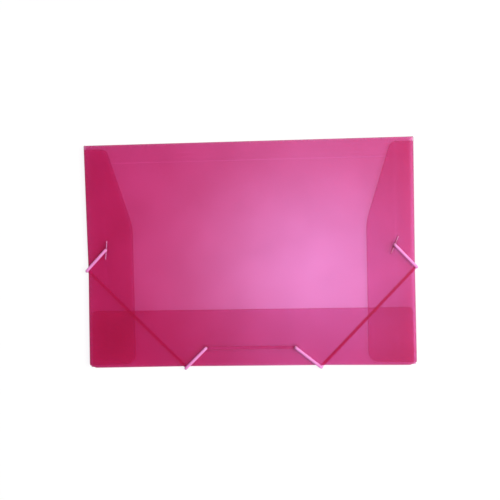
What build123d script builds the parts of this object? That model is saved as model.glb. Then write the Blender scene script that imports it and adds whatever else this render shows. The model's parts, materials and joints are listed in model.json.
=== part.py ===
from build123d import *
from math import atan2, degrees, hypot, pi
import os

# Elastic folder of translucent plastic sheet, lying closed with its front cover up.
# The spine runs along +Y, the open fore edge along -Y. Lengths are in millimetres.
# The origin is the middle of the whole thing's footprint, on the table that it lies on.

# Driving dimensions of the sheet
folder_width = 335.0
folder_height = 230.0
sheet_thickness = 0.4
hinge_radius = 0.3
hinge_gap = 0.05
layer_clearance = 0.3

# Spine and the scored strips beside it on the front cover
strip_pitch = 4.7
strip_count = 4
score_web = 0.2
score_width = 0.6
spine_end_trim = 1.0

# Front cover
cover_fore_recess = 0.6
cover_corner_length = 7.0
cover_corner_depth = 2.6
cover_corner_radius = 3.0

# Side flaps
side_wall_height = 3.8
side_flap_level = 1.7
side_crease = 18.8
side_flap_depth = 47.8
side_flap_top_width = 22.4
side_flap_slant_end = 84.0
side_flap_slant_radius = 60.0
side_flap_top_radius = 7.0
side_flap_corner_radius = 10.0
side_flap_spine_gap = 4.6
side_flap_fore_gap = 3.6

# Fore flap
fore_fold_rise = 0.9
fore_crease = 18.8
fore_flap_depth = 58.5
fore_flap_side_gap = 2.6
fore_flap_corner_radius = 5.0
fore_chamfer_length = 5.8
fore_chamfer_depth = 2.3

# Elastic cord: a loop round each lower corner, and one run behind the cover between them
cord_diameter = 3.0
cord_hole_clearance = 0.3
cord_lie = 0.1
cord_hole_bend = 1.7
cord_edge_bend = 1.9
wrap_reach = 4.0
side_hole_from_side = 20.0
side_hole_from_fore = 122.0
fore_hole_from_side = 121.5
fore_hole_from_fore = 19.5
edge_crossings = {"left": (102.5, 102.0), "right": (101.0, 98.0)}

# Metal barbs that hold the cord's ends behind the side holes
barb_length = 19.5
barb_radius = 0.9
barb_crimp_length = 4.0
barb_crimp_radius = 1.1
barb_cord_gap = 0.05
barb_turns = {"left": 84.0, "right": 66.4}

# Levels and outlines that follow from the driving dimensions
cord_radius = cord_diameter / 2
half_sheet = sheet_thickness / 2
side_x = folder_width / 2
spine_y = (folder_height + cord_diameter + layer_clearance) / 2
fore_y = spine_y - folder_height
back_z = cord_diameter + layer_clearance + half_sheet
cover_z = back_z + strip_pitch
side_top_z = back_z + side_wall_height
side_flap_z = back_z + side_flap_level
fore_flap_z = back_z + fore_fold_rise
fore_fold_radius = fore_fold_rise / 2 + half_sheet
axis_x = side_x - hinge_radius
spine_axis_y = spine_y - hinge_radius
fore_axis_y = fore_y + fore_fold_radius
panel_start = hinge_radius + hinge_gap
fore_panel_start = fore_fold_radius + hinge_gap
crease_x = side_x - side_crease
sides = {"left": -1, "right": 1}

os.makedirs("parts", exist_ok=True)


def write(piece, name):
    """Labels a finished piece and writes it under its own name."""
    piece.part.label = name
    export_step(piece.part, f"parts/{name}.step")


# Back cover, a flat panel that carries the folds of all four edges
with BuildPart() as back_cover:
    with BuildSketch(Plane.XY.offset(back_z - half_sheet)):
        with BuildLine():
            edge_x = axis_x - panel_start
            Polyline(
                (-edge_x, fore_axis_y + fore_panel_start),
                (edge_x, fore_axis_y + fore_panel_start),
                (edge_x, spine_axis_y - panel_start),
                (-edge_x, spine_axis_y - panel_start),
                close=True,
            )
        make_face()
    extrude(amount=sheet_thickness)
write(back_cover, "back_cover")

# Spine wall: the strip that stands up between the two covers, with a hinge bead along each edge
with BuildPart() as spine_wall:
    with BuildSketch(Plane.YZ.offset(-side_x + spine_end_trim)):
        with Locations((spine_y - half_sheet, (back_z + cover_z) / 2)):
            Rectangle(sheet_thickness, strip_pitch)
        with Locations((spine_axis_y, back_z), (spine_axis_y, cover_z)):
            Circle(hinge_radius)
    extrude(amount=folder_width - 2 * spine_end_trim)
write(spine_wall, "spine_wall")

# Scored strips of the front cover, thinned to a web along each score line
for number in range(strip_count):
    near = spine_axis_y - number * strip_pitch - (panel_start if number == 0 else 0)
    far = spine_axis_y - (number + 1) * strip_pitch
    near_depth = half_sheet if number == 0 else score_web / 2
    near_slope = hinge_gap if number == 0 else score_width / 2
    with BuildPart() as strip:
        with BuildSketch(Plane.YZ.offset(-side_x)):
            with BuildLine():
                Polyline(
                    (near, cover_z - near_depth),
                    (near, cover_z + near_depth),
                    (near - near_slope, cover_z + half_sheet),
                    (far + score_width / 2, cover_z + half_sheet),
                    (far, cover_z + score_web / 2),
                    (far, cover_z - score_web / 2),
                    (far + score_width / 2, cover_z - half_sheet),
                    (near - near_slope, cover_z - half_sheet),
                    close=True,
                )
            make_face()
        extrude(amount=folder_width)
    write(strip, f"spine_strip_{number + 1}")

# Front cover, from the last score line to the fore edge, with four holes for the cord
cover_top_y = spine_axis_y - strip_count * strip_pitch
cover_fore_y = fore_y + cover_fore_recess
side_hole_y = fore_y + side_hole_from_fore
fore_hole_y = fore_y + fore_hole_from_fore
hole_places = [
    (side * (side_x - from_side), y)
    for side in sides.values()
    for from_side, y in ((side_hole_from_side, side_hole_y), (fore_hole_from_side, fore_hole_y))
]
with BuildPart() as front_cover:
    with BuildSketch(Plane.XY.offset(cover_z - half_sheet)) as outline:
        with BuildLine():
            Polyline(
                (-side_x, cover_top_y),
                (-side_x, cover_fore_y + cover_corner_depth),
                (-side_x + cover_corner_length, cover_fore_y),
                (side_x - cover_corner_length, cover_fore_y),
                (side_x, cover_fore_y + cover_corner_depth),
                (side_x, cover_top_y),
                close=True,
            )
        make_face()
        fillet(outline.vertices().sort_by(Axis.Y)[:4], cover_corner_radius)
        with Locations(*hole_places):
            Circle(cord_radius + cord_hole_clearance, mode=Mode.SUBTRACT)
    extrude(amount=sheet_thickness)
    score_edges = front_cover.edges().filter_by(Axis.X).group_by(Axis.Y)[-1]
    chamfer(score_edges, (sheet_thickness - score_web) / 2, score_width / 2,
            reference=front_cover.faces().sort_by(Axis.Y)[-1])
write(front_cover, "front_cover")

# Side flaps: a standing wall, a strip that slopes down to the strong crease, and the flap panel
side_flap_near_y = spine_y - side_flap_spine_gap
side_flap_far_y = fore_y + side_flap_fore_gap
side_flap_length = side_flap_near_y - side_flap_far_y
strip_run = hypot(axis_x - crease_x, side_top_z - side_flap_z)
strip_slope = degrees(atan2(side_top_z - side_flap_z, axis_x - crease_x))

for name, side in sides.items():
    with BuildPart() as wall:
        with BuildSketch(Plane.XZ.offset(-side_flap_near_y)):
            with Locations((side * (side_x - half_sheet), (back_z + side_top_z) / 2)):
                Rectangle(sheet_thickness, side_wall_height)
            with Locations((side * axis_x, back_z), (side * axis_x, side_top_z)):
                Circle(hinge_radius)
        extrude(amount=side_flap_length)
    write(wall, f"{name}_wall")

    top_edge = Plane((side * axis_x, side_flap_near_y, side_top_z), x_dir=(1, 0, 0), z_dir=(0, -1, 0))
    inward_turn = -strip_slope if side < 0 else 180 + strip_slope
    with BuildPart() as fold_strip:
        with BuildSketch(top_edge):
            with Locations(Location((0, 0), inward_turn)):
                with Locations(((panel_start + strip_run) / 2, 0)):
                    Rectangle(strip_run - panel_start, sheet_thickness)
                with Locations((strip_run, 0)):
                    Circle(hinge_radius)
        extrude(amount=side_flap_length)
    write(fold_strip, f"{name}_fold_strip")

    start = side_crease + panel_start
    with BuildPart() as flap:
        with BuildSketch(Plane.XY.offset(side_flap_z - half_sheet)) as outline:
            with BuildLine():
                Polyline(
                    (side * (side_x - start), side_flap_near_y),
                    (side * (side_x - side_flap_top_width), side_flap_near_y),
                    (side * (side_x - side_flap_depth), spine_y - side_flap_slant_end),
                    (side * (side_x - side_flap_depth), side_flap_far_y),
                    (side * (side_x - start), side_flap_far_y),
                    close=True,
                )
            make_face()
            by_depth = outline.vertices().sort_by(Axis.X, reverse=side < 0)
            inner = by_depth[:2].sort_by(Axis.Y)
            fillet(inner[0], side_flap_corner_radius)
            fillet(inner[1], side_flap_slant_radius)
            fillet(by_depth[2], side_flap_top_radius)
        extrude(amount=sheet_thickness)
    write(flap, f"{name}_flap")

# Fore flap: a tight rounded fold, the strip up to its crease, and the panel under the side flaps
fore_end_x = side_x - fore_flap_side_gap
with BuildPart() as fore_fold:
    with BuildSketch(Plane.YZ.offset(-side_x + fore_chamfer_length)):
        with Locations((fore_axis_y, (back_z + fore_flap_z) / 2)):
            Circle(fore_fold_radius)
    extrude(amount=folder_width - 2 * fore_chamfer_length)
write(fore_fold, "fore_fold")

fore_crease_y = fore_y + fore_crease
with BuildPart() as fore_fold_strip:
    with BuildSketch(Plane.XY.offset(fore_flap_z - half_sheet)):
        with BuildLine():
            Polyline(
                (-side_x + fore_chamfer_length, fore_axis_y + fore_panel_start),
                (side_x - fore_chamfer_length, fore_axis_y + fore_panel_start),
                (fore_end_x, fore_y + fore_chamfer_depth),
                (fore_end_x, fore_crease_y),
                (-fore_end_x, fore_crease_y),
                (-fore_end_x, fore_y + fore_chamfer_depth),
                close=True,
            )
        make_face()
    extrude(amount=sheet_thickness)
    crease_edges = fore_fold_strip.edges().filter_by(Axis.X).group_by(Axis.Y)[-1]
    chamfer(crease_edges, (sheet_thickness - score_web) / 2, score_width / 2,
            reference=fore_fold_strip.faces().sort_by(Axis.Y)[-1])
write(fore_fold_strip, "fore_fold_strip")

with BuildPart() as fore_flap:
    with BuildSketch(Plane.XY.offset(fore_flap_z - half_sheet)) as outline:
        with Locations((0, fore_y + (fore_crease + fore_flap_depth) / 2)):
            Rectangle(2 * fore_end_x, fore_flap_depth - fore_crease)
        fillet(outline.vertices().group_by(Axis.Y)[-1], fore_flap_corner_radius)
    extrude(amount=sheet_thickness)
    crease_edges = fore_flap.edges().filter_by(Axis.X).group_by(Axis.Y)[0]
    chamfer(crease_edges, (sheet_thickness - score_web) / 2, score_width / 2,
            reference=fore_flap.faces().sort_by(Axis.Y)[0])
write(fore_flap, "fore_flap")


def tube(points, radii, name):
    """A length of the cord along straight runs joined by tangent arcs."""
    with BuildPart() as piece:
        with BuildLine():
            route = FilletPolyline(*points, radius=radii) if radii else Line(*points)
        with BuildSketch(Plane(origin=route @ 0, z_dir=route % 0)):
            Circle(cord_radius)
        sweep(path=route)
    expected = pi * cord_radius**2 * route.length
    print(f"{name}: {route.length:.1f} mm, bends {radii}, volume {piece.part.volume / expected:.4f} of its length")
    write(piece, name)


# Elastic cord: legs over the cover, wraps round the edges, spans behind the back cover
leg_z = cover_z + half_sheet + cord_lie + cord_radius
span_z = cord_radius
inner_z = cover_z - half_sheet - cord_lie - cord_radius
barb_z = cover_z - half_sheet - cord_lie - barb_crimp_radius
cord_end_z = barb_z + barb_crimp_radius + barb_cord_gap
outside = layer_clearance + cord_radius

for name, side in sides.items():
    side_crossing, fore_crossing = edge_crossings[name]
    side_hole = Vector(side * (side_x - side_hole_from_side), side_hole_y, 0)
    fore_hole = Vector(side * (side_x - fore_hole_from_side), fore_hole_y, 0)
    side_edge = Vector(side * side_x, fore_y + side_crossing, 0)
    fore_edge = Vector(side * (side_x - fore_crossing), fore_y, 0)
    # Each leg's line is carried past the folder's edge to where the cord turns down
    side_way = side_edge - side_hole
    fore_way = fore_edge - fore_hole
    side_turn = side_hole + side_way * (1 + outside / abs(side_way.X))
    fore_turn = fore_hole + fore_way * (1 + outside / abs(fore_way.Y))
    side_leg_end = side_turn - side_way.normalized() * wrap_reach
    fore_leg_end = fore_turn - fore_way.normalized() * wrap_reach
    span_way = (fore_turn - side_turn).normalized()
    span_start = side_turn + span_way * wrap_reach
    span_end = fore_turn - span_way * wrap_reach
    up = Vector(0, 0, leg_z)
    down = Vector(0, 0, span_z)
    tube(
        [side_leg_end + up, side_hole + up, side_hole + Vector(0, 0, cord_end_z)],
        [cord_hole_bend], f"{name}_side_leg",
    )
    tube(
        [fore_leg_end + up, fore_hole + up, fore_hole + Vector(0, 0, cover_z)],
        [cord_hole_bend], f"{name}_fore_leg",
    )
    tube(
        [side_leg_end + up, side_turn + up, side_turn + down, span_start + down],
        [cord_edge_bend, cord_edge_bend], f"{name}_side_wrap",
    )
    tube(
        [fore_leg_end + up, fore_turn + up, fore_turn + down, span_end + down],
        [cord_edge_bend, cord_edge_bend], f"{name}_fore_wrap",
    )
    tube([span_start + down, span_end + down], [], f"{name}_back_span")
    shift = (side_hole + fore_hole - side_turn - fore_turn) / 2 + up - down
    print(f"{name} loop lies back by {shift.X:.3f}, {shift.Y:.3f}, {shift.Z:.3f}, {shift.length:.3f} mm")

    # Barb: a metal bar across the back of the hole, crimped round the cord's end
    with BuildPart() as barb:
        bar_plane = Plane(
            origin=(side_hole.X, side_hole.Y, barb_z),
            z_dir=Vector(1, 0, 0).rotate(Axis.Z, barb_turns[name]),
        )
        with BuildSketch(bar_plane):
            Circle(barb_radius)
        extrude(amount=barb_length / 2, both=True)
        fillet(barb.edges().filter_by(GeomType.CIRCLE), barb_radius * 0.6)
        with BuildSketch(bar_plane):
            Circle(barb_crimp_radius)
        extrude(amount=barb_crimp_length / 2, both=True)
    write(barb, f"{name}_barb")

fore_hole_x = side_x - fore_hole_from_side
tube(
    [
        (-fore_hole_x, fore_hole_y, cover_z),
        (-fore_hole_x, fore_hole_y, inner_z),
        (fore_hole_x, fore_hole_y, inner_z),
        (fore_hole_x, fore_hole_y, cover_z),
    ],
    [cord_hole_bend, cord_hole_bend], "cord_inner_run",
)
print(f"strip slope {strip_slope:.4f} degrees, crease at x {crease_x:.3f}, z {side_flap_z:.3f}")
print(f"spine axis y {spine_axis_y:.3f}, fore axis y {fore_axis_y:.3f}, side axis x {axis_x:.3f}")
print(f"back z {back_z:.3f}, cover z {cover_z:.3f}, side top z {side_top_z:.3f}, fore z {fore_flap_z:.3f}")
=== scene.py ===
import json
import math

import bmesh
import bpy
import numpy as np
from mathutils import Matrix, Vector


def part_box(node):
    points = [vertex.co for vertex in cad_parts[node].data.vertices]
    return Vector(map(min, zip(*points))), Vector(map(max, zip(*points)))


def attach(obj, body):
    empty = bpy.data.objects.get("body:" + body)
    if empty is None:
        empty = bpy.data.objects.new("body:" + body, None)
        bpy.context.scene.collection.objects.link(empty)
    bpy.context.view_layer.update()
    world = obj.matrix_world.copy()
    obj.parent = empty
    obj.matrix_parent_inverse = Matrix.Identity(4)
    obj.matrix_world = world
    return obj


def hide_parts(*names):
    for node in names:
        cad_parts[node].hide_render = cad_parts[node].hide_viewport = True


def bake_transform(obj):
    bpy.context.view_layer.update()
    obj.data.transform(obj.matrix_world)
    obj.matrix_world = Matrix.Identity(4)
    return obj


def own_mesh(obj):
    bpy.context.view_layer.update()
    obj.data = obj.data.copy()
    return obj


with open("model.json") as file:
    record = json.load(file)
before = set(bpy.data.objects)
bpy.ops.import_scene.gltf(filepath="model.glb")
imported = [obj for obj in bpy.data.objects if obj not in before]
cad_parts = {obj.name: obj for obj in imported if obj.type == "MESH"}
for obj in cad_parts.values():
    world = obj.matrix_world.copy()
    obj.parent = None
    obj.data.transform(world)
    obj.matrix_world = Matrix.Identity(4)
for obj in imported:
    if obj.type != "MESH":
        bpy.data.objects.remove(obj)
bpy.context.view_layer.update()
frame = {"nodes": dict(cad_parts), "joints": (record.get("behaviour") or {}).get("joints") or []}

# A millimetre, in the scene's metres
MM = 0.001


def box(node):
    """A node's lowest and highest corners at rest, as two vectors."""
    low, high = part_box(node)
    return Vector(low), Vector(high)


# Levels and edges of the folder, read from the frame
back_low, back_high = box("back_cover")
cover_low, cover_high = box("front_cover")
fold_low, fold_high = box("fore_fold")
fore_low, fore_high = box("fore_flap")
joints = {joint["name"]: joint for joint in frame["joints"]}

SHEET = back_high.z - back_low.z
BACK_Z = (back_low.z + back_high.z) / 2
COVER_Z = (cover_low.z + cover_high.z) / 2
FORE_Z = (fore_low.z + fore_high.z) / 2
SIDE_X = cover_high.x
SPINE_Y = box("spine_wall")[1].y
FORE_Y = fold_low.y
COVER_FORE_Y = cover_low.y
SPINE_AXIS_Y = joints["spine_fold"]["pos_m"][1]
SIDE_AXIS_X = joints["right_wall_fold"]["pos_m"][0]
SIDE_TOP_Z = joints["right_flap_fold"]["pos_m"][2]
FORE_AXIS_Y = joints["fore_flap_fold"]["pos_m"][1]
FORE_AXIS_Z = joints["fore_flap_fold"]["pos_m"][2]

# Scored strips beside the spine, each as wide as the covers are apart
STRIP_PITCH = COVER_Z - BACK_Z
STRIP_COUNT = 4

# The front cover's two fore corners, cut back and rounded
CORNER_LENGTH = 7 * MM
CORNER_DEPTH = 2.6 * MM
CORNER_RADIUS = 3 * MM

# Side flaps: their crease, the narrow end by the spine, where the slant ends, and the corners
SIDE_CREASE_DEPTH = 18.8 * MM
SIDE_TOP_DEPTH = 22.4 * MM
SIDE_SLANT_END = 84 * MM
SIDE_FORE_RADIUS = 10 * MM
SIDE_TOP_RADIUS = 7 * MM
SIDE_SLANT_RADIUS = 60 * MM

# Fore flap: how far its fold's chamfers reach, and its corners
FORE_CHAMFER = 2.3 * MM
FORE_OUTER_RADIUS = 1 * MM
FORE_INNER_RADIUS = 5 * MM

# Sheet: bends, cut edge with its width as a share of its height, and pressed creases
BEND_RADIUS = 0.35 * MM
RIM_RADIUS = SHEET / 2
RIM_FLATNESS = 0.8
SPINE_END_INSET = 0.4 * MM
SCORE_HEIGHT = 0.16 * MM
SCORE_HALF_WIDTH = 0.55 * MM
SCORE_STEPS = (-1.0, -0.5, 0.0, 0.5, 1.0)
FAINT_SCORE = 0.35

# Grids and arcs
CELL = 5 * MM
HOLE_CELL = 3 * MM
GRID_NEAR = 0.2 * MM
HOLE_SEGMENTS = 32
ARC_STEPS = 8
BEND_STEPS = 5
FORE_BEND_STEPS = 9
RIM_SIDES = 6
CLIP_TOLERANCE = 1e-7
MEETING_TOLERANCE = 1e-6

# Seams where one piece of the sheet runs on into the next, so that no cut edge is made there
SEAM_REACH = 1 * MM
SEAM_END = 0.5 * MM
FORE_SEAM_REACH = 2 * MM
FORE_SEAM_HEIGHT = 0.1 * MM

# The cord
CORD_RADIUS = (box("left_back_span")[1].z - box("left_back_span")[0].z) / 2
CORD_CLEARANCE = 0.3 * MM
HOLE_INNER_BEND = 0.2 * MM
EDGE_INNER_BEND = 0.4 * MM
HOLE_RADIUS = CORD_RADIUS + CORD_CLEARANCE
OUTSIDE = CORD_RADIUS + CORD_CLEARANCE
HOLE_BEND = CORD_RADIUS + HOLE_INNER_BEND
EDGE_BEND = CORD_RADIUS + EDGE_INNER_BEND
LEG_Z = box("left_fore_leg")[1].z - CORD_RADIUS
SPAN_Z = CORD_RADIUS
INNER_Z = box("cord_inner_run")[0].z + CORD_RADIUS
END_Z = box("left_side_leg")[0].z

# Where the cord goes: holes from the sides and the fore edge, and where it crosses the edges
SIDE_HOLE = (20 * MM, 122 * MM)
FORE_HOLE = (121.5 * MM, 19.5 * MM)
SIDE_CROSSING = {"left": 102.5 * MM, "right": 101 * MM}
FORE_CROSSING = {"left": 102 * MM, "right": 98 * MM}
SIGNS = {"left": -1, "right": 1}


# Node helpers

def new_material(name):
    """An empty node material, with its tree and output."""
    material = bpy.data.materials.new(name)
    material.use_nodes = True
    material.node_tree.nodes.clear()
    output = material.node_tree.nodes.new("ShaderNodeOutputMaterial")
    return material, material.node_tree, output


def add(tree, kind, **settings):
    """A node with its sockets or attributes set by name."""
    node = tree.nodes.new(kind)
    for key, value in settings.items():
        if key in node.inputs:
            node.inputs[key].default_value = value
        else:
            setattr(node, key, value)
    return node


def link(tree, source, output, target, entry):
    """Join one node's output to another node's entry."""
    tree.links.new(source.outputs[output], target.inputs[entry])


def feed(tree, value, entry):
    """Give an entry a fixed value, or another node's output."""
    if isinstance(value, bpy.types.NodeSocket):
        tree.links.new(value, entry)
    else:
        entry.default_value = value


def calculate(tree, operation, *values, **settings):
    """The output of a math node; each value is a number or another node's output."""
    node = add(tree, "ShaderNodeMath", operation=operation, **settings)
    for value, entry in zip(values, node.inputs):
        feed(tree, value, entry)
    return node.outputs["Value"]


def mix_shaders(tree, share, first, second):
    """Two shaders mixed; share is how much of the second shows."""
    node = add(tree, "ShaderNodeMixShader")
    feed(tree, share, node.inputs["Fac"])
    link(tree, first, 0, node, 1)
    link(tree, second, 0, node, 2)
    return node


def noise(tree, coordinates, scale, detail):
    """Noise in the object's own space, its scale per metre."""
    node = add(tree, "ShaderNodeTexNoise", Scale=scale, Detail=detail)
    link(tree, coordinates, "Object", node, "Vector")
    return node


def ramp(tree, source, low, high, start=0.3, end=0.7):
    """The colours from low to high that a factor between start and end gives."""
    node = tree.nodes.new("ShaderNodeValToRGB")
    for element, place, colour in zip(node.color_ramp.elements, (start, end), (low, high)):
        element.position = place
        element.color = (*colour, 1)
    link(tree, source, "Fac", node, "Fac")
    return node


# Looks of the sheet: light goes through in a tint's colours, and scatters inside in others
SHEET_TINTS = ((0.86, 0.645, 0.90), (0.89, 0.675, 0.93))
SHEET_SCATTERS = ((0.97, 0.005, 0.13), (0.99, 0.015, 0.16))
RIM_TINTS = ((0.74, 0.34, 0.54), (0.78, 0.38, 0.58))
RIM_SCATTERS = ((0.62, 0.02, 0.14), (0.68, 0.03, 0.17))
FOLD_TINTS = ((0.84, 0.58, 0.82), (0.87, 0.61, 0.85))
FOLD_SCATTERS = ((0.93, 0.005, 0.13), (0.96, 0.015, 0.16))

# What a full crease adds to the share of light that scatters
CREASE_HAZE = -0.15

# Share of light that a facing sheet mirrors, as plastic of refractive index 1.5 does, and how it grows
FACING_GLOSS = 0.04
GLOSS_POWER = 5


def plastic_material(name, tints, scatters, haze, gloss, roughness):
    """Tinted sheet: most light goes through, some scatters inside, and a soft gloss lies on top."""
    material, tree, output = new_material(name)
    coordinates = add(tree, "ShaderNodeTexCoord")
    cloud = noise(tree, coordinates, scale=22, detail=4)
    grain = noise(tree, coordinates, scale=1400, detail=2)
    bump = add(tree, "ShaderNodeBump", Strength=0.12, Distance=0.00006)
    link(tree, grain, "Fac", bump, "Height")
    tint = ramp(tree, cloud, *tints)
    scatter = ramp(tree, cloud, *scatters)
    clear = add(tree, "ShaderNodeBsdfTransparent")
    diffuse = add(tree, "ShaderNodeBsdfDiffuse", Roughness=0.4)
    through = add(tree, "ShaderNodeBsdfTranslucent")
    link(tree, tint, "Color", clear, "Color")
    for node in (diffuse, through):
        link(tree, scatter, "Color", node, "Color")
        link(tree, bump, "Normal", node, "Normal")
    body = mix_shaders(tree, 0.5, diffuse, through)
    crease = add(tree, "ShaderNodeAttribute", attribute_name="crease")
    thinning = calculate(tree, "MULTIPLY_ADD", crease.outputs["Fac"], CREASE_HAZE, haze)
    sheet = mix_shaders(tree, thinning, clear, body)
    shine = add(tree, "ShaderNodeBsdfAnisotropic", Color=(*gloss, 1), Roughness=roughness)
    link(tree, bump, "Normal", shine, "Normal")
    slant = add(tree, "ShaderNodeLayerWeight", Blend=0.5)
    link(tree, bump, "Normal", slant, "Normal")
    steep = calculate(tree, "POWER", slant.outputs["Facing"], GLOSS_POWER)
    mirror = calculate(tree, "MULTIPLY_ADD", steep, 1 - FACING_GLOSS, FACING_GLOSS)
    finish = mix_shaders(tree, mirror, sheet, shine)
    link(tree, finish, 0, output, "Surface")
    return material


# Looks of the elastic: its yarn from dark to light, a darker copy of it as painted shade for the runs under
# the sheets, and painted shade in the gaps between the strands, fading to none on the strands
YARN = ((0.95, 0.27, 0.68), (1.0, 0.34, 0.78))
# Painted shade: the same yarn made darker, for the cord's runs that lie under the sheets
PAINTED_SHADE_YARN = ((0.60, 0.12, 0.34), (0.67, 0.16, 0.40))
STRAND_GAP_PAINTED_SHADE = ((0.62, 0.42, 0.55), (1.0, 1.0, 1.0))


def cord_material(name, yarns):
    """Braided elastic: pink yarn, darkened by painted shade in the gaps between the strands."""
    material, tree, output = new_material(name)
    coordinates = add(tree, "ShaderNodeTexCoord")
    fuzz = noise(tree, coordinates, scale=2600, detail=3)
    patches = noise(tree, coordinates, scale=160, detail=2)
    yarn = ramp(tree, patches, *yarns)
    # Painted shade: darker where the braid's relief is low, in the gaps between the strands
    strand = add(tree, "ShaderNodeAttribute", attribute_name="strand")
    shade = ramp(tree, strand, *STRAND_GAP_PAINTED_SHADE, start=0.0)
    gaps = add(tree, "ShaderNodeMix", data_type="RGBA", blend_type="MULTIPLY")
    gaps.inputs[0].default_value = 1.0
    link(tree, yarn, "Color", gaps, 6)
    link(tree, shade, "Color", gaps, 7)
    bump = add(tree, "ShaderNodeBump", Strength=0.5, Distance=0.00005)
    link(tree, fuzz, "Fac", bump, "Height")
    surface = add(tree, "ShaderNodeBsdfPrincipled", Roughness=0.62)
    surface.inputs["Sheen Weight"].default_value = 0.3
    surface.inputs["Sheen Roughness"].default_value = 0.5
    link(tree, gaps, 2, surface, "Base Color")
    link(tree, bump, "Normal", surface, "Normal")
    link(tree, surface, 0, output, "Surface")
    return material


# Looks of the barbs: the metal's colour, and its roughness where it is rubbed and where it isn't
METAL_COLOURS = ((0.50, 0.47, 0.49), (0.72, 0.70, 0.72))
METAL_SMOOTHEST = 0.22
METAL_ROUGHEST = 0.45


def metal_material():
    """Plated steel of the barbs, rubbed and stained in patches."""
    material, tree, output = new_material("plated_steel")
    coordinates = add(tree, "ShaderNodeTexCoord")
    rub = noise(tree, coordinates, scale=900, detail=4)
    stain = noise(tree, coordinates, scale=180, detail=2)
    colour = ramp(tree, stain, *METAL_COLOURS, start=0.35)
    rough = add(tree, "ShaderNodeMapRange")
    rough.inputs["To Min"].default_value = METAL_SMOOTHEST
    rough.inputs["To Max"].default_value = METAL_ROUGHEST
    link(tree, rub, "Fac", rough, "Value")
    bump = add(tree, "ShaderNodeBump", Strength=0.3, Distance=0.00004)
    link(tree, rub, "Fac", bump, "Height")
    surface = add(tree, "ShaderNodeBsdfPrincipled", Metallic=1.0)
    link(tree, colour, "Color", surface, "Base Color")
    link(tree, rough, "Result", surface, "Roughness")
    link(tree, bump, "Normal", surface, "Normal")
    link(tree, surface, 0, output, "Surface")
    return material


sheet_finish = plastic_material(
    "pink_sheet", SHEET_TINTS, SHEET_SCATTERS, haze=0.32, gloss=(0.7, 0.38, 0.56), roughness=0.42
)
rim_finish = plastic_material(
    "pink_cut_edge", RIM_TINTS, RIM_SCATTERS, haze=0.45, gloss=(0.4, 0.25, 0.35), roughness=0.45
)
fold_finish = plastic_material(
    "pink_fold", FOLD_TINTS, FOLD_SCATTERS, haze=0.36, gloss=(0.35, 0.2, 0.3), roughness=0.5
)
cord_finish = cord_material("elastic_braid", YARN)
# Painted shade: a darker copy of the cord's material, for the back spans and the inner run under the sheets
painted_shade_cord_finish = cord_material("elastic_braid_shaded", PAINTED_SHADE_YARN)
metal_finish = metal_material()


# Sheet meshes: single surfaces on a grid, clipped to their outline, with a rounded cut edge

def arc(centre, radius, start, end, steps=ARC_STEPS):
    """Points on an arc in the plane, angles in degrees."""
    angles = [math.radians(start + (end - start) * i / steps) for i in range(steps + 1)]
    return [(centre[0] + radius * math.cos(a), centre[1] + radius * math.sin(a)) for a in angles]


def tangent_arc(before, corner, after, radius):
    """The centre of the arc that rounds a corner, and its first and last points as seen from there."""
    back = (before - corner).normalized()
    onward = (after - corner).normalized()
    half = back.angle(onward) / 2
    reach = radius / math.tan(half)
    centre = corner + (back + onward).normalized() * radius / math.sin(half)
    return centre, corner + back * reach - centre, corner + onward * reach - centre


def rounded(points, radii):
    """A closed outline, run anticlockwise, with its corners rounded by tangent arcs."""
    result = []
    points = [Vector(point) for point in points]
    for index, radius in enumerate(radii):
        if radius <= 0:
            result.append(tuple(points[index]))
            continue
        following = points[(index + 1) % len(points)]
        centre, first, last = tangent_arc(points[index - 1], points[index], following, radius)
        start = math.degrees(math.atan2(first.y, first.x))
        turn = math.degrees(math.atan2(last.y, last.x)) - start
        turn = (turn + 180) % 360 - 180
        result.extend(arc(tuple(centre), radius, start, start + turn))
    return result


def spread(low, high, cell, extra=()):
    """Grid lines from low to high, a cell apart, with extra ones put in."""
    count = max(1, math.ceil((high - low) / cell))
    lines = [low + (high - low) * i / count for i in range(count + 1)]
    kept = [v for v in lines if v in (low, high) or all(abs(v - e) > GRID_NEAR for e in extra)]
    return sorted(kept + [e for e in extra if low < e < high])


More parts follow.
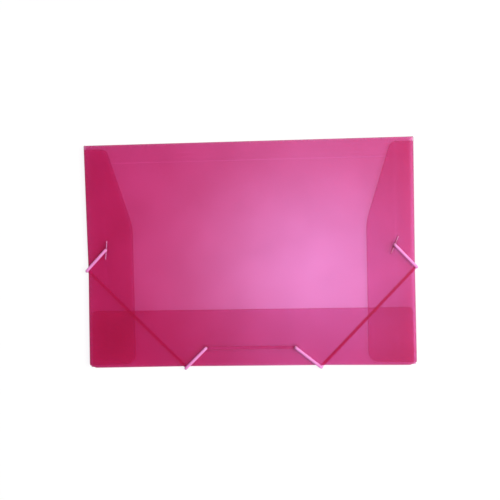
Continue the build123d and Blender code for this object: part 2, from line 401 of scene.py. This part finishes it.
def grid_mesh(xs, ys, outline, holes=()):
    """A flat grid clipped to a convex outline, with round holes cut in square cells left for them."""
    mesh = bmesh.new()
    squares = [(hx - HOLE_CELL, hx + HOLE_CELL, hy - HOLE_CELL, hy + HOLE_CELL) for hx, hy in holes]
    corners = {(i, j): mesh.verts.new((x, y, 0)) for i, x in enumerate(xs) for j, y in enumerate(ys)}
    for i in range(len(xs) - 1):
        for j in range(len(ys) - 1):
            middle_x = (xs[i] + xs[i + 1]) / 2
            middle_y = (ys[j] + ys[j + 1]) / 2
            if any(a < middle_x < b and c < middle_y < d for a, b, c, d in squares):
                continue
            mesh.faces.new([corners[i, j], corners[i + 1, j], corners[i + 1, j + 1], corners[i, j + 1]])
    for hx, hy in holes:
        ends = [
            corners[xs.index(hx + sx * HOLE_CELL), ys.index(hy + sy * HOLE_CELL)]
            for sx, sy in ((1, 1), (-1, 1), (-1, -1), (1, -1))
        ]
        circle = arc((hx, hy), HOLE_RADIUS, 0, 360, HOLE_SEGMENTS)[:-1]
        ring = [mesh.verts.new((x, y, 0)) for x, y in circle]
        quarter = HOLE_SEGMENTS // 4
        for side, corner in enumerate(ends):
            stretch = [ring[(side * quarter + i) % HOLE_SEGMENTS] for i in range(quarter + 1)]
            for first, second in zip(stretch, stretch[1:]):
                mesh.faces.new([corner, second, first])
            mesh.faces.new([corner, ends[(side + 1) % len(ends)], stretch[-1]])
    for index, point in enumerate(outline):
        start = Vector((*outline[index - 1], 0))
        along = Vector((*point, 0)) - start
        if along.length < CLIP_TOLERANCE:
            continue
        outward = Vector((along.y, -along.x, 0)).normalized()
        geometry = mesh.verts[:] + mesh.edges[:] + mesh.faces[:]
        bmesh.ops.bisect_plane(
            mesh, geom=geometry, dist=CLIP_TOLERANCE, plane_co=start, plane_no=outward, clear_outer=True
        )
    loose = [v for v in mesh.verts if not v.link_faces]
    bmesh.ops.delete(mesh, geom=loose, context="VERTS")
    return mesh


def finish_object(mesh, name, materials):
    """A linked, smooth object from a bmesh, with its materials."""
    data = bpy.data.meshes.new(name)
    mesh.to_mesh(data)
    mesh.free()
    for material in materials:
        data.materials.append(material)
    piece = bpy.data.objects.new(name, data)
    bpy.context.collection.objects.link(piece)
    data.polygons.foreach_set("use_smooth", [True] * len(data.polygons))
    return piece


def stitch_rows(mesh, rows):
    """Faces between each row of points and the next."""
    for first, second in zip(rows, rows[1:]):
        for i in range(len(first) - 1):
            mesh.faces.new([first[i], second[i], second[i + 1], first[i + 1]])


def stitch_rings(mesh, first, second, material=0):
    """Faces all the way round between two rings of as many points."""
    count = len(first)
    for k in range(count):
        onward = (k + 1) % count
        face = mesh.faces.new([first[k], first[onward], second[onward], second[k]])
        face.material_index = material


def add_rim(mesh, skip):
    """A round cut edge along every open border, but not where skip says so of an edge's middle."""
    borders = [e for e in mesh.edges if e.is_boundary]
    borders = [e for e in borders if not skip((e.verts[0].co + e.verts[1].co) / 2)]
    follow = {}
    for edge in borders:
        for vert in edge.verts:
            follow.setdefault(vert, []).append(edge)
    normals = {v: v.normal.copy() for v in follow}
    loops = []
    left = set(borders)
    ends = [v for v, es in follow.items() if len(es) == 1]
    while left:
        start = next((v for v in ends if any(e in left for e in follow[v])), None)
        closed = start is None
        if closed:
            start = next(iter(sorted(left, key=lambda e: e.index))).verts[0]
        chain = [start]
        while True:
            onward = [e for e in follow[chain[-1]] if e in left]
            if not onward:
                break
            left.discard(onward[0])
            chain.append(onward[0].other_vert(chain[-1]))
        loops.append((chain[:-1] if closed else chain, closed))
    for chain, closed in loops:
        tube_along([(v.co.copy(), normals[v]) for v in chain], closed, mesh)


def tube_along(points, closed, mesh):
    """A closed tube of the sheet's thickness along a border, for its cut edge."""
    rings = []
    count = len(points)
    for index, (place, normal) in enumerate(points):
        before = points[index - 1][0] if index or closed else place
        after = points[(index + 1) % count][0] if index < count - 1 or closed else place
        along = (after - before).normalized()
        across = along.cross(normal).normalized()
        ring = []
        for k in range(RIM_SIDES):
            angle = math.tau * (k + 0.5) / RIM_SIDES
            sideways = across * math.cos(angle) * RIM_RADIUS * RIM_FLATNESS
            upwards = normal * math.sin(angle) * RIM_RADIUS
            ring.append(mesh.verts.new(place + (sideways + upwards)))
        rings.append(ring)
    pairs = list(zip(rings, rings[1:])) + ([(rings[-1], rings[0])] if closed else [])
    for first, second in pairs:
        stitch_rings(mesh, first, second, material=1)
    if not closed:
        mesh.faces.new(rings[0][::-1]).material_index = 1
        mesh.faces.new(rings[-1]).material_index = 1


def ridge(distance):
    """Height of a pressed crease, from none at its foot to one along its middle."""
    return max(0.0, 1 - abs(distance) / SCORE_HALF_WIDTH)


def crease_lines(middle):
    """Grid lines across a pressed crease."""
    return [middle + step * SCORE_HALF_WIDTH for step in SCORE_STEPS]


def bell(distance, width):
    """A smooth hump: one at its middle, and little left past its width."""
    return math.exp(-(distance / width) ** 2)


# Where the cord passes the cover, and where it turns down past the edges

def hole_of(name, edge):
    """The middle of one of the cord's four holes, seen from above."""
    from_side, from_fore = SIDE_HOLE if edge == "side" else FORE_HOLE
    return Vector((SIGNS[name] * (SIDE_X - from_side), FORE_Y + from_fore, 0))


def turn_of(name, edge):
    """Where the cord's middle line turns down, on the leg's line carried past the edge."""
    hole = hole_of(name, edge)
    if edge == "side":
        crossing = Vector((SIGNS[name] * SIDE_X, FORE_Y + SIDE_CROSSING[name], 0))
        way = crossing - hole
        return hole + way * (1 + OUTSIDE / abs(way.x))
    crossing = Vector((SIGNS[name] * (SIDE_X - FORE_CROSSING[name]), FORE_Y, 0))
    way = crossing - hole
    return hole + way * (1 + OUTSIDE / abs(way.y))


side_turn = {name: turn_of(name, "side") for name in SIGNS}
fore_turn = {name: turn_of(name, "fore") for name in SIGNS}
turns = list(side_turn.values()) + list(fore_turn.values())
holes = [hole_of(name, edge) for name in SIGNS for edge in ("side", "fore")]

# How the cord presses the sheet down and draws its edges in
PRESS = 0.55 * MM
PRESS_WIDTH = 26 * MM
SIDE_PULL = {"left": 1.4 * MM, "right": 0.4 * MM}
FORE_PULL = 0.8 * MM
PULL_FADE = 15 * MM

# The sheets' waver: its height, its waves in radians per metre, and where in them each sheet starts
WAVER_HEIGHT = 0.10 * MM
WAVER_X = 21
WAVER_Y = 17
WAVER_DIAGONAL = 43
FRONT_PHASE = 0.7
BACK_PHASE = 2.1
SIDE_PHASE = 4.2
FORE_PHASE = 5.9

# How near a bend the waver fades out, and its share on the two sheets that lie flatter
FRONT_FADE = 12 * MM
BACK_FADE = 15 * MM
FLAP_FADE = 10 * MM
BACK_WAVER = 0.5
FORE_WAVER = 0.6

# The fore flap's share of a crease's height, and a side flap's sag between its wall and its crease
FORE_LIFT = 0.6
SIDE_SAG = 0.35


def edge_press(x, y):
    """How far the cord presses the cover's edge down, largest where it goes round."""
    return PRESS * max(bell(math.hypot(x - turn.x, y - turn.y), PRESS_WIDTH) for turn in turns)


def slack(value, strained, ends):
    """How much of the strain is left at a place along an edge: all where strained, none at the ends."""
    low, high = strained
    if value < low:
        return max(0.0, (value - ends[0]) / (low - ends[0]))
    if value > high:
        return max(0.0, (ends[1] - value) / (ends[1] - high))
    return 1.0


def pulled(x, y):
    """A point of the sheet, drawn in where the cord strains the edges."""
    name = "left" if x < 0 else "right"
    turn_y = side_turn[name].y
    near = max(0.0, 1 - max(0.0, SIDE_X - abs(x)) / PULL_FADE)
    inward = SIDE_PULL[name] * near * slack(y, (turn_y, turn_y), (FORE_Y, SPINE_Y))
    near = max(0.0, 1 - max(0.0, y - FORE_Y) / PULL_FADE)
    forward = FORE_PULL * near * slack(x, (fore_turn["left"].x, fore_turn["right"].x), (-SIDE_X, SIDE_X))
    return x - math.copysign(inward, x), y + forward


def waver(x, y, phase):
    """The slight unevenness of a sheet that has been folded and used."""
    slow = math.sin(x * WAVER_X + phase) * math.cos(y * WAVER_Y + 2 * phase)
    quick = 0.5 * math.sin((x + y) * WAVER_DIAGONAL + 3 * phase)
    return WAVER_HEIGHT * (slow + quick)


# Front cover with its scored strips

def front_sheet():
    """The front cover from its fore edge to the spine's bend, with its holes and pressed score lines."""
    edge_y = SPINE_AXIS_Y - BEND_RADIUS
    score_ys = [SPINE_AXIS_Y - STRIP_PITCH * (i + 1) for i in range(STRIP_COUNT)]
    depths = [FAINT_SCORE] * (STRIP_COUNT - 1) + [1.0]
    rows = [row for y in score_ys for row in crease_lines(y)]
    hole_xs = [hole.x + side * HOLE_CELL for hole in holes for side in (-1, 1)]
    hole_ys = sorted({hole.y + side * HOLE_CELL for hole in holes for side in (-1, 1)})
    xs = spread(-SIDE_X, SIDE_X, CELL, hole_xs)
    ys = spread(COVER_FORE_Y, edge_y, CELL, rows + hole_ys)
    cut_x = SIDE_X - CORNER_LENGTH
    cut_y = COVER_FORE_Y + CORNER_DEPTH
    outline = rounded(
        [
            (-cut_x, COVER_FORE_Y), (cut_x, COVER_FORE_Y), (SIDE_X, cut_y),
            (SIDE_X, edge_y), (-SIDE_X, edge_y), (-SIDE_X, cut_y),
        ],
        [CORNER_RADIUS, CORNER_RADIUS, CORNER_RADIUS, 0, 0, CORNER_RADIUS],
    )
    mesh = grid_mesh(xs, ys, outline, [(hole.x, hole.y) for hole in holes])
    crease = mesh.verts.layers.float.new("crease")
    for vert in mesh.verts:
        x, y = vert.co.x, vert.co.y
        vert[crease] = max(depth * ridge(y - score_y) for depth, score_y in zip(depths, score_ys))
        lift = SCORE_HEIGHT * vert[crease]
        fade = min(1.0, (edge_y - y) / FRONT_FADE)
        drop = edge_press(x, y) - waver(x, y, FRONT_PHASE) * max(0.0, fade)
        x, y = pulled(x, y)
        vert.co = (x, y, COVER_Z + lift - drop)
    mesh.normal_update()
    add_rim(mesh, lambda middle: middle.y > edge_y - MEETING_TOLERANCE)
    return finish_object(mesh, "front_sheet", [sheet_finish, rim_finish])


front_piece = front_sheet()
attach(front_piece, "front")
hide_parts("front_cover", *[f"spine_strip_{i + 1}" for i in range(STRIP_COUNT)])


# Back cover

def back_sheet():
    """The back cover between the bends on its four sides."""
    edge_x = SIDE_AXIS_X - BEND_RADIUS
    low_y = FORE_AXIS_Y
    high_y = SPINE_AXIS_Y - BEND_RADIUS
    xs = spread(-edge_x, edge_x, CELL)
    ys = spread(low_y, high_y, CELL)
    outline = [(-edge_x, low_y), (edge_x, low_y), (edge_x, high_y), (-edge_x, high_y)]
    mesh = grid_mesh(xs, ys, outline)
    for vert in mesh.verts:
        x, y = vert.co.x, vert.co.y
        inset = min(edge_x - abs(x), y - low_y, high_y - y)
        fade = min(1.0, inset / BACK_FADE)
        x, y = pulled(x, y)
        vert.co = (x, y, BACK_Z + BACK_WAVER * waver(x, y, BACK_PHASE) * fade)
    mesh.normal_update()
    return finish_object(mesh, "back_sheet", [sheet_finish, rim_finish])


back_piece = back_sheet()
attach(back_piece, "back")
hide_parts("back_cover")


# Walls: each rises from the back cover's edge, and a second piece folds over into the next panel

def wall_profiles(edge, wall, top):
    """Two runs of (across, up) points: up the wall, and over its top bend to the next panel's edge."""
    middle = wall - BEND_RADIUS
    lower = arc((middle, BACK_Z + BEND_RADIUS), BEND_RADIUS, -90, 0, BEND_STEPS)
    upper = arc((middle, top - BEND_RADIUS), BEND_RADIUS, 0, 90, BEND_STEPS)
    rising = [(edge, BACK_Z)] + lower + [(wall, top - BEND_RADIUS)]
    folding = upper + [(edge, top)]
    return rising, folding


def wall_sheet(name, profile, low, high, shape, skip):
    """A strip of sheet that follows a profile and runs from low to high along it."""
    mesh = bmesh.new()
    lines = spread(low, high, CELL)
    rows = [[mesh.verts.new(shape(across, up, along)) for along in lines] for across, up in profile]
    stitch_rows(mesh, rows)
    bmesh.ops.recalc_face_normals(mesh, faces=mesh.faces[:])
    mesh.normal_update()
    add_rim(mesh, skip)
    return finish_object(mesh, name, [fold_finish, rim_finish])


def bend_at(piece):
    """Bake a piece's placement into its mesh."""
    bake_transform(piece)


# Spine wall

def spine_shape(across, up, along):
    """A point of the spine wall's profile, put at its place along the spine."""
    return (along, across, up)


def inside_spine(middle):
    """Whether an edge lies along a seam, and not at one of the spine wall's two ends."""
    return abs(middle.x) < SIDE_X - SEAM_REACH


spine_rising, spine_folding = wall_profiles(SPINE_AXIS_Y - BEND_RADIUS, SPINE_Y - SHEET / 2, COVER_Z)
spine_end = SIDE_X - SPINE_END_INSET
spine_piece = wall_sheet("spine_sheet", spine_rising, -spine_end, spine_end, spine_shape, inside_spine)
bend_at(spine_piece)
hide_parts("spine_wall")
spine_fold = wall_sheet("spine_fold_sheet", spine_folding, -spine_end, spine_end, spine_shape, inside_spine)
bend_at(spine_fold)


# Side walls and side flaps

def side_wall_sheets(name, side):
    """A side wall, and the bend from it into the flap."""
    low, high = box(f"{name}_wall")

    def shape(across, up, along):
        return (*pulled(side * across, along), up)

    def inside(middle):
        return low.y + SEAM_END < middle.y < high.y - SEAM_END

    rising, folding = wall_profiles(SIDE_AXIS_X - BEND_RADIUS, SIDE_X - SHEET / 2, SIDE_TOP_Z)
    wall = wall_sheet(f"{name}_wall_sheet", rising, low.y, high.y, shape, inside)
    fold = wall_sheet(f"{name}_fold_sheet", folding, low.y, high.y, shape, inside)
    return wall, fold


def side_flap_sheet(name, side):
    """A side flap, which comes down from its wall to a crease and lies flat beyond it."""
    low, high = box(f"{name}_flap")
    flap_z = (low.z + high.z) / 2
    inner_x = min(abs(low.x), abs(high.x))
    crease_x = SIDE_X - SIDE_CREASE_DEPTH
    start_x = SIDE_AXIS_X - BEND_RADIUS
    top_x = SIDE_X - SIDE_TOP_DEPTH
    slant_y = SPINE_Y - SIDE_SLANT_END
    outline = rounded(
        [(inner_x, low.y), (start_x, low.y), (start_x, high.y), (top_x, high.y), (inner_x, slant_y)],
        [SIDE_FORE_RADIUS, 0, 0, SIDE_TOP_RADIUS, SIDE_SLANT_RADIUS],
    )
    xs = spread(inner_x, start_x, CELL, crease_lines(crease_x))
    ys = spread(low.y, high.y, CELL)
    mesh = grid_mesh(xs, ys, outline)
    crease = mesh.verts.layers.float.new("crease")
    for vert in mesh.verts:
        x, y = vert.co.x, vert.co.y
        vert[crease] = ridge(x - crease_x)
        share = max(0.0, (x - crease_x) / (start_x - crease_x))
        rise = (SIDE_TOP_Z - flap_z) * (share - SIDE_SAG * share * (1 - share))
        lift = SCORE_HEIGHT * vert[crease]
        fade = min(1.0, (start_x - x) / FLAP_FADE)
        z = flap_z + rise + lift + waver(side * x, y, SIDE_PHASE) * fade
        vert.co = (*pulled(side * x, y), z)
    bmesh.ops.recalc_face_normals(mesh, faces=mesh.faces[:])
    mesh.normal_update()

    def seam(middle):
        return abs(middle.x) > start_x - SEAM_REACH and low.y + SEAM_END < middle.y < high.y - SEAM_END

    add_rim(mesh, seam)
    return finish_object(mesh, f"{name}_flap_sheet", [sheet_finish, rim_finish])


for name, side in SIGNS.items():
    wall_piece, fold_piece = side_wall_sheets(name, side)
    bend_at(wall_piece)
    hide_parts(f"{name}_wall")
    bend_at(fold_piece)
    flap_piece = side_flap_sheet(name, side)
    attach(flap_piece, f"{name}_flap")
    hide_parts(f"{name}_fold_strip", f"{name}_flap")


# Fore flap

def fore_flap_sheet():
    """The fore flap, round the tight fold and then flat over its crease to its inner edge."""
    radius = FORE_AXIS_Z - BACK_Z
    end_x = fore_high.x
    chamfer_x = fold_high.x
    crease_y = fore_low.y
    inner_y = fore_high.y
    chamfer_y = FORE_Y + FORE_CHAMFER
    bend = arc((FORE_AXIS_Y, FORE_AXIS_Z), radius, 270, 90, FORE_BEND_STEPS)
    xs = spread(-end_x, end_x, CELL, [-chamfer_x, chamfer_x])
    ys = spread(FORE_AXIS_Y, inner_y, CELL, crease_lines(crease_y))
    outline = rounded(
        [
            (-chamfer_x, FORE_AXIS_Y), (chamfer_x, FORE_AXIS_Y), (end_x, chamfer_y),
            (end_x, inner_y), (-end_x, inner_y), (-end_x, chamfer_y),
        ],
        [0, 0, FORE_OUTER_RADIUS, FORE_INNER_RADIUS, FORE_INNER_RADIUS, FORE_OUTER_RADIUS],
    )
    mesh = grid_mesh(xs, ys, outline)
    crease = mesh.verts.layers.float.new("crease")
    for vert in mesh.verts:
        x, y = vert.co.x, vert.co.y
        vert[crease] = ridge(y - crease_y)
        lift = SCORE_HEIGHT * vert[crease]
        fade = min(1.0, (y - FORE_AXIS_Y) / FLAP_FADE)
        z = FORE_Z + lift * FORE_LIFT + FORE_WAVER * waver(x, y, FORE_PHASE) * fade
        vert.co = (x, y, z)
    fold_xs = [x for x in xs if abs(x) <= chamfer_x + MEETING_TOLERANCE]
    stitch_rows(mesh, [[mesh.verts.new((x, y, z)) for x in fold_xs] for y, z in bend])
    bmesh.ops.remove_doubles(mesh, verts=mesh.verts[:], dist=MEETING_TOLERANCE)
    for vert in mesh.verts:
        vert.co = (*pulled(vert.co.x, vert.co.y), vert.co.z)
    bmesh.ops.recalc_face_normals(mesh, faces=mesh.faces[:])
    mesh.normal_update()

    def seam(middle):
        return middle.z < BACK_Z + FORE_SEAM_HEIGHT and middle.y < FORE_AXIS_Y + FORE_SEAM_REACH

    add_rim(mesh, seam)
    return finish_object(mesh, "fore_flap_sheet", [sheet_finish, rim_finish])


fore_piece = fore_flap_sheet()
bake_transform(fore_piece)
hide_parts("fore_fold", "fore_fold_strip", "fore_flap")


# Elastic cord

BRAID_STRANDS = 8
BRAID_PITCH = 8 * MM
BRAID_DEPTH = 0.10 * MM
CORD_STEP = 0.35 * MM
CORD_SIDES = 28
CORD_ARC_STEPS = 12

# A direction that no run of the cord follows, from which the first ring is turned
RING_START = (0.31, 0.17, 0.93)


def cord_line(points, radii):
    """Evenly spaced places on straight runs joined by tangent arcs, and how far along each one lies."""
    points = [Vector(p) for p in points]
    dense = [points[0]]
    for index, radius in enumerate(radii, start=1):
        centre, first, last = tangent_arc(*points[index - 1:index + 2], radius)
        whole = first.angle(last)
        for step in range(CORD_ARC_STEPS + 1):
            share = step / CORD_ARC_STEPS
            from_first = math.sin(whole * (1 - share))
            from_last = math.sin(whole * share)
            dense.append(centre + (first * from_first + last * from_last) / math.sin(whole))
    dense.append(points[-1])
    lengths = np.cumsum([0] + [(b - a).length for a, b in zip(dense, dense[1:])])
    count = max(2, round(lengths[-1] / CORD_STEP))
    marks = np.linspace(0, lengths[-1], count + 1)
    coordinates = np.array([tuple(p) for p in dense])
    places = np.stack([np.interp(marks, lengths, coordinates[:, k]) for k in range(3)], axis=1)
    return places, marks


def cord_piece(name, points, radii, finish=cord_finish):
    """A braided tube along a route, its strands a real relief."""
    places, marks = cord_line(points, radii)
    along = np.gradient(places, axis=0)
    along /= np.linalg.norm(along, axis=1)[:, None]
    across = np.cross(along[0], RING_START)
    across /= np.linalg.norm(across)
    mesh = bmesh.new()
    layer = mesh.verts.layers.float.new("strand")
    rings = []
    for place, direction, mark in zip(places, along, marks):
        across = across - direction * (across @ direction)
        across /= np.linalg.norm(across)
        third = np.cross(direction, across)
        ring = []
        for k in range(CORD_SIDES):
            angle = math.tau * k / CORD_SIDES
            twist = math.tau * mark / BRAID_PITCH
            one = abs(math.sin(BRAID_STRANDS / 2 * (angle + twist)))
            other = abs(math.sin(BRAID_STRANDS / 2 * (angle - twist)))
            height = max(one, other)
            radius = CORD_RADIUS - BRAID_DEPTH * (1 - height)
            offset = (across * math.cos(angle) + third * math.sin(angle)) * radius
            vert = mesh.verts.new(place + offset)
            vert[layer] = height
            ring.append(vert)
        rings.append(ring)
    for first, second in zip(rings, rings[1:]):
        stitch_rings(mesh, first, second)
    mesh.faces.new(rings[0][::-1])
    mesh.faces.new(rings[-1])
    return finish_object(mesh, name, [finish])


# Where the legs and spans meet the wraps, and how much is left of legs and wraps when a loop is released
LEG_REACH = 2.2 * MM
SPAN_REACH = 4 * MM


def lifted(place, level):
    """A place on the plan, at a level."""
    return Vector((place.x, place.y, level))


def drawn_in(place):
    """A turn of the cord, drawn in with the edge that it goes round."""
    return Vector((*pulled(place.x, place.y), 0))


def loop(name):
    """One loop of the cord: two legs over the cover, two wraps round the edges, and the span behind."""
    turn_at = {"side": drawn_in(side_turn[name]), "fore": drawn_in(fore_turn[name])}
    span_way = (turn_at["fore"] - turn_at["side"]).normalized()
    for edge, place in turn_at.items():
        hole = hole_of(name, edge)
        way = (place - hole).normalized()
        leg_end = place - way * LEG_REACH
        bottom = END_Z if edge == "side" else COVER_Z
        leg = cord_piece(
            f"{name}_{edge}_leg_cord",
            [lifted(leg_end, LEG_Z), lifted(hole, LEG_Z), lifted(hole, bottom)],
            [HOLE_BEND],
        )
        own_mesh(leg)
        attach(leg, "front")
        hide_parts(f"{name}_{edge}_leg")
        onward = span_way if edge == "side" else -span_way
        wrap = cord_piece(
            f"{name}_{edge}_wrap_cord",
            [
                lifted(leg_end, LEG_Z), lifted(place, LEG_Z), lifted(place, SPAN_Z),
                lifted(place + onward * SPAN_REACH, SPAN_Z),
            ],
            [EDGE_BEND, EDGE_BEND],
        )
        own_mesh(wrap)
        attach(wrap, f"{name}_loop")
        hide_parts(f"{name}_{edge}_wrap")
    # The span under the back cover takes the cord's painted-shade copy
    span = cord_piece(
        f"{name}_back_span_cord",
        [
            lifted(turn_at["side"] + span_way * SPAN_REACH, SPAN_Z),
            lifted(turn_at["fore"] - span_way * SPAN_REACH, SPAN_Z),
        ],
        [],
        painted_shade_cord_finish,
    )
    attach(span, f"{name}_loop")
    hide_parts(f"{name}_back_span")


for name in SIGNS:
    loop(name)

inner_ends = [hole_of("left", "fore"), hole_of("right", "fore")]
# The inner run under the front cover takes the cord's painted-shade copy
inner_piece = cord_piece(
    "inner_run_cord",
    [
        lifted(inner_ends[0], COVER_Z), lifted(inner_ends[0], INNER_Z),
        lifted(inner_ends[1], INNER_Z), lifted(inner_ends[1], COVER_Z),
    ],
    [HOLE_BEND, HOLE_BEND],
    painted_shade_cord_finish,
)
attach(inner_piece, "front")
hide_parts("cord_inner_run")

for name in SIGNS:
    barb = frame["nodes"][f"{name}_barb"]
    barb.data.materials.clear()
    barb.data.materials.append(metal_finish)


# Floor, light and camera

FLOOR_COLOURS = ((0.88, 0.88, 0.88), (0.91, 0.91, 0.91))
FLOOR_WHITE = 0.85
FLOOR_LIGHT = 1.06
FLOOR_HALF_WIDTH = 4.0
# Painted light: a soft pool of bluish light on the floor, centred right of the folder's middle and seen
# only through the sheets
PAINTED_GLOW_PLACE = (0.075, -0.021, 0.0)
PAINTED_GLOW_WIDTH = 0.082
PAINTED_GLOW_COLOUR = (0.63, 0.92, 1.0, 1)
PAINTED_GLOW_LIGHT = 1.12
KEY_PLACE = (1.0, 0.10, 1.45)
KEY_AIM = (0.0, -0.05, 0.0)
KEY_SIZE = 0.9
KEY_POWER = 31
FILL_LIGHT = 0.22
CAMERA_PLACE = (0.0858, 0.0417, 0.9925)
CAMERA_TURN = (-2.174, 4.845, -1.289)
CAMERA_LENS = 70
CAMERA_SENSOR = 36


def floor_material():
    """Pale floor: white to the camera, keeps its shadows, and under the sheets shows a painted pool of
    bluish light that glows though it is no lamp.
    """
    material, tree, output = new_material("pale_floor")
    coordinates = add(tree, "ShaderNodeTexCoord")
    mottle = noise(tree, coordinates, scale=6, detail=3)
    colour = ramp(tree, mottle, *FLOOR_COLOURS)
    diffuse = add(tree, "ShaderNodeBsdfDiffuse")
    link(tree, colour, "Color", diffuse, "Color")
    path = add(tree, "ShaderNodeLightPath")
    to_camera = path.outputs["Is Camera Ray"]
    # One where the view has come through a sheet, and none on the bare floor
    covered = calculate(tree, "GREATER_THAN", path.outputs["Transparent Depth"], 0.5)
    distance = add(tree, "ShaderNodeVectorMath", operation="DISTANCE")
    distance.inputs[1].default_value = PAINTED_GLOW_PLACE
    link(tree, coordinates, "Object", distance, 0)
    widths = calculate(tree, "DIVIDE", distance.outputs["Value"], PAINTED_GLOW_WIDTH)
    squared = calculate(tree, "POWER", widths, 2)
    fading = calculate(tree, "POWER", math.exp(-0.5), squared)
    shown = calculate(tree, "MULTIPLY", fading, covered)
    level = calculate(tree, "MULTIPLY", shown, PAINTED_GLOW_LIGHT)
    seen = calculate(tree, "MULTIPLY", level, to_camera)
    # Painted light: the pool glows as an emission, seen only by the camera through the sheets
    painted_glow = add(tree, "ShaderNodeEmission", Color=PAINTED_GLOW_COLOUR)
    feed(tree, seen, painted_glow.inputs["Strength"])
    lit = add(tree, "ShaderNodeAddShader")
    link(tree, diffuse, 0, lit, 0)
    link(tree, painted_glow, 0, lit, 1)
    bare = calculate(tree, "SUBTRACT", to_camera, covered)
    share = calculate(tree, "MULTIPLY", bare, FLOOR_WHITE, use_clamp=True)
    white = add(tree, "ShaderNodeEmission", Strength=FLOOR_LIGHT)
    link(tree, mix_shaders(tree, share, lit, white), 0, output, "Surface")
    return material


floor_mesh = bmesh.new()
bmesh.ops.create_grid(floor_mesh, x_segments=4, y_segments=4, size=FLOOR_HALF_WIDTH)
floor = finish_object(floor_mesh, "floor", [floor_material()])

world = bpy.data.worlds.new("studio")
bpy.context.scene.world = world
world.use_nodes = True
sky = world.node_tree
sky.nodes.clear()
sky_output = add(sky, "ShaderNodeOutputWorld")
fill_light = add(sky, "ShaderNodeBackground", Color=(1, 1, 1, 1), Strength=FILL_LIGHT)
backdrop = add(sky, "ShaderNodeBackground", Color=(1, 1, 1, 1), Strength=1.0)
ray = add(sky, "ShaderNodeLightPath")
link(sky, mix_shaders(sky, ray.outputs["Is Camera Ray"], fill_light, backdrop), 0, sky_output, "Surface")

lamp = bpy.data.lights.new("key", "AREA")
lamp.shape = "SQUARE"
lamp.size = KEY_SIZE
lamp.energy = KEY_POWER
lamp_holder = bpy.data.objects.new("key", lamp)
bpy.context.collection.objects.link(lamp_holder)
lamp_holder.location = KEY_PLACE
lamp_holder.rotation_euler = (Vector(KEY_AIM) - Vector(KEY_PLACE)).to_track_quat("-Z", "Y").to_euler()

camera_data = bpy.data.cameras.new("camera")
camera_data.lens = CAMERA_LENS
camera_data.sensor_width = CAMERA_SENSOR
camera = bpy.data.objects.new("camera", camera_data)
bpy.context.collection.objects.link(camera)
camera.location = CAMERA_PLACE
camera.rotation_euler = [math.radians(a) for a in CAMERA_TURN]
bpy.context.scene.camera = camera
bpy.context.scene.view_settings.view_transform = "Standard"
